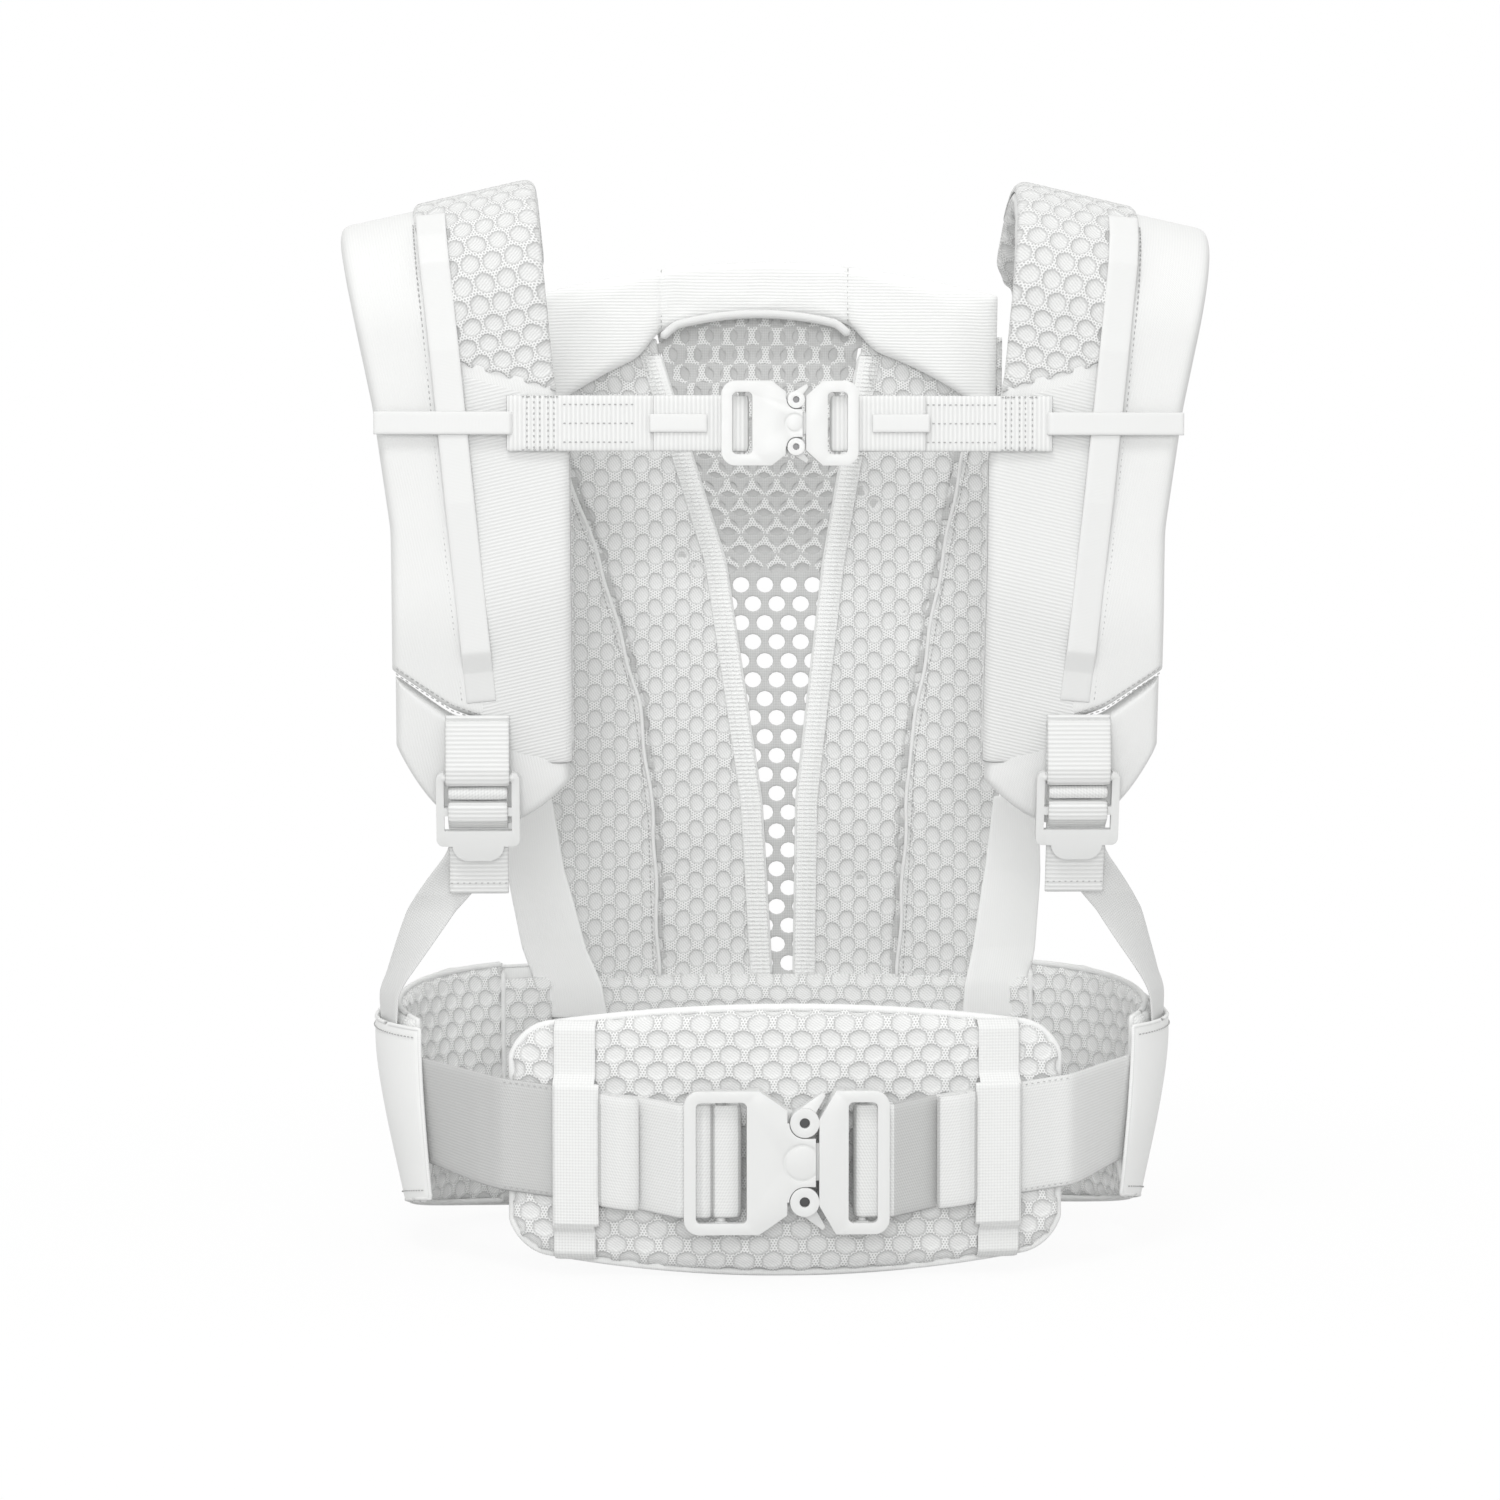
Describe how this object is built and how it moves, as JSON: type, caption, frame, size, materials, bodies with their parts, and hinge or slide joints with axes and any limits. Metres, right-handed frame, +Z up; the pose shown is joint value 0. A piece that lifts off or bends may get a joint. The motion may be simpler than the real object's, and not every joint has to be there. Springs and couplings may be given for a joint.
{
  "type": "soft baby carrier",
  "caption": "Soft front carrier for a baby: padded waist belt with lumbar pad, mesh body panel, head support, padded shoulder straps and release buckles.",
  "frame": {"origin": "middle of the bounding box in plan, at the lowest edge of the belt and pad", "axes": "+Z up, -Y towards the wearer's back with the lumbar pad and the buckles, +Y towards the baby panel, +X to the right seen from behind the wearer"},
  "size_m": [0.3842, 0.2053, 0.4721],
  "materials": {
    "honeycomb_mesh": "knitted spacer mesh, matt",
    "panel_mesh": "open hexagon mesh, matt",
    "foam": "covered soft foam, matt",
    "ribbed_fabric": "finely ribbed knit, matt",
    "elastic": "ribbed woven elastic, matt",
    "webbing": "tightly woven webbing, matt",
    "smooth_twill": "smooth close twill, matt",
    "plastic": "satin moulded plastic",
    "steel": "bright drawn wire and strip"
  },
  "bodies": {
    "carrier": {"adjuster_webbing_left": "webbing", "adjuster_webbing_right": "webbing", "belt_front_foam": "foam", "belt_front_lining": "honeycomb_mesh", "belt_front_shell": "smooth_twill", "belt_wing_lining_left": "honeycomb_mesh", "belt_wing_lining_right": "honeycomb_mesh", "belt_wing_shell_left": "smooth_twill", "belt_wing_shell_right": "smooth_twill", "head_support_face": "ribbed_fabric", "head_support_foam": "foam", "head_support_piping": "ribbed_fabric", "lock_tab_left": "webbing", "lock_tab_right": "webbing", "lumbar_band_left": "elastic", "lumbar_band_right": "elastic", "lumbar_pad_face": "honeycomb_mesh", "lumbar_pad_foam": "foam", "panel_doubler": "panel_mesh", "panel_flap_left": "panel_mesh", "panel_flap_right": "panel_mesh", "panel_net": "panel_mesh", "side_band_left": "smooth_twill", "side_band_right": "smooth_twill", "strap_end_left": "smooth_twill", "strap_end_right": "smooth_twill", "strap_face_left": "smooth_twill", "strap_face_right": "smooth_twill", "strap_foam_left": "foam", "strap_foam_right": "foam", "strap_lining_left": "honeycomb_mesh", "strap_lining_right": "honeycomb_mesh", "strap_rail_left": "webbing", "strap_rail_right": "webbing", "waist_buckle_body": "plastic", "waist_lever_pins": "steel", "waist_lever_springs": "steel", "waist_webbing_left": "webbing", "waist_webbing_right": "webbing"},
    "waist_latch": {"waist_buckle_latch": "plastic"},
    "waist_upper_lever": {"waist_lever_upper": "plastic"},
    "waist_lower_lever": {"waist_lever_lower": "plastic"},
    "chest_strap": {"chest_slider_left": "elastic", "chest_slider_right": "elastic", "chest_webbing_left": "webbing", "chest_webbing_right": "webbing", "chest_keeper_left": "elastic", "chest_buckle_body": "plastic", "chest_lever_pins": "steel", "chest_lever_springs": "steel"},
    "chest_latch": {"chest_buckle_latch": "plastic", "chest_keeper_right": "elastic"},
    "chest_upper_lever": {"chest_lever_upper": "plastic"},
    "chest_lower_lever": {"chest_lever_lower": "plastic"},
    "lock_left": {"ladder_lock_left": "plastic", "adjuster_tail_left": "webbing"},
    "lock_right": {"ladder_lock_right": "plastic", "adjuster_tail_right": "webbing"}
  },
  "joints": [
    {"name": "waist_latch_slide", "type": "slide", "parent": "carrier", "child": "waist_latch", "axis": [1, 0, 0], "range_m": [0, 0.021], "deforming": ["waist_webbing_right", "waist_lever_springs"]},
    {"name": "waist_upper_lever_pivot", "type": "hinge", "parent": "carrier", "child": "waist_upper_lever", "pos_m": [0.0091, -0.09665, 0.0683], "axis": [0, 1, 0], "range_deg": [0, 14], "deforming": ["waist_lever_springs"]},
    {"name": "waist_lower_lever_pivot", "type": "hinge", "parent": "carrier", "child": "waist_lower_lever", "pos_m": [0.0091, -0.09665, 0.0347], "axis": [0, -1, 0], "range_deg": [0, 14], "deforming": ["waist_lever_springs"]},
    {"name": "chest_strap_height", "type": "slide", "parent": "carrier", "child": "chest_strap", "axis": [0, 0, 1], "range_m": [-0.05, 0.025]},
    {"name": "chest_latch_slide", "type": "slide", "parent": "chest_strap", "child": "chest_latch", "axis": [1, 0, 0], "range_m": [0, 0.014], "deforming": ["chest_webbing_right", "chest_lever_springs"]},
    {"name": "chest_upper_lever_pivot", "type": "hinge", "parent": "chest_strap", "child": "chest_upper_lever", "pos_m": [0.0066, -0.06925, 0.374], "axis": [0, 1, 0], "range_deg": [0, 14], "deforming": ["chest_lever_springs"]},
    {"name": "chest_lower_lever_pivot", "type": "hinge", "parent": "chest_strap", "child": "chest_lower_lever", "pos_m": [0.0066, -0.06925, 0.354], "axis": [0, -1, 0], "range_deg": [0, 14], "deforming": ["chest_lever_springs"]},
    {"name": "left_lock_swing", "type": "hinge", "parent": "carrier", "child": "lock_left", "pos_m": [-0.13, -0.05623, 0.212], "axis": [-1, 0, 0], "range_deg": [0, 35], "deforming": ["adjuster_webbing_left"]},
    {"name": "right_lock_swing", "type": "hinge", "parent": "carrier", "child": "lock_right", "pos_m": [0.13, -0.05623, 0.212], "axis": [-1, 0, 0], "range_deg": [0, 35], "deforming": ["adjuster_webbing_right"]}
  ],
  "couplings": [
    {"joint": "waist_upper_lever_pivot", "follows": "waist_latch_slide", "rad_per_m": 11.6},
    {"joint": "waist_lower_lever_pivot", "follows": "waist_latch_slide", "rad_per_m": 11.6},
    {"joint": "chest_upper_lever_pivot", "follows": "chest_latch_slide", "rad_per_m": 17.4},
    {"joint": "chest_lower_lever_pivot", "follows": "chest_latch_slide", "rad_per_m": 17.4}
  ]
}
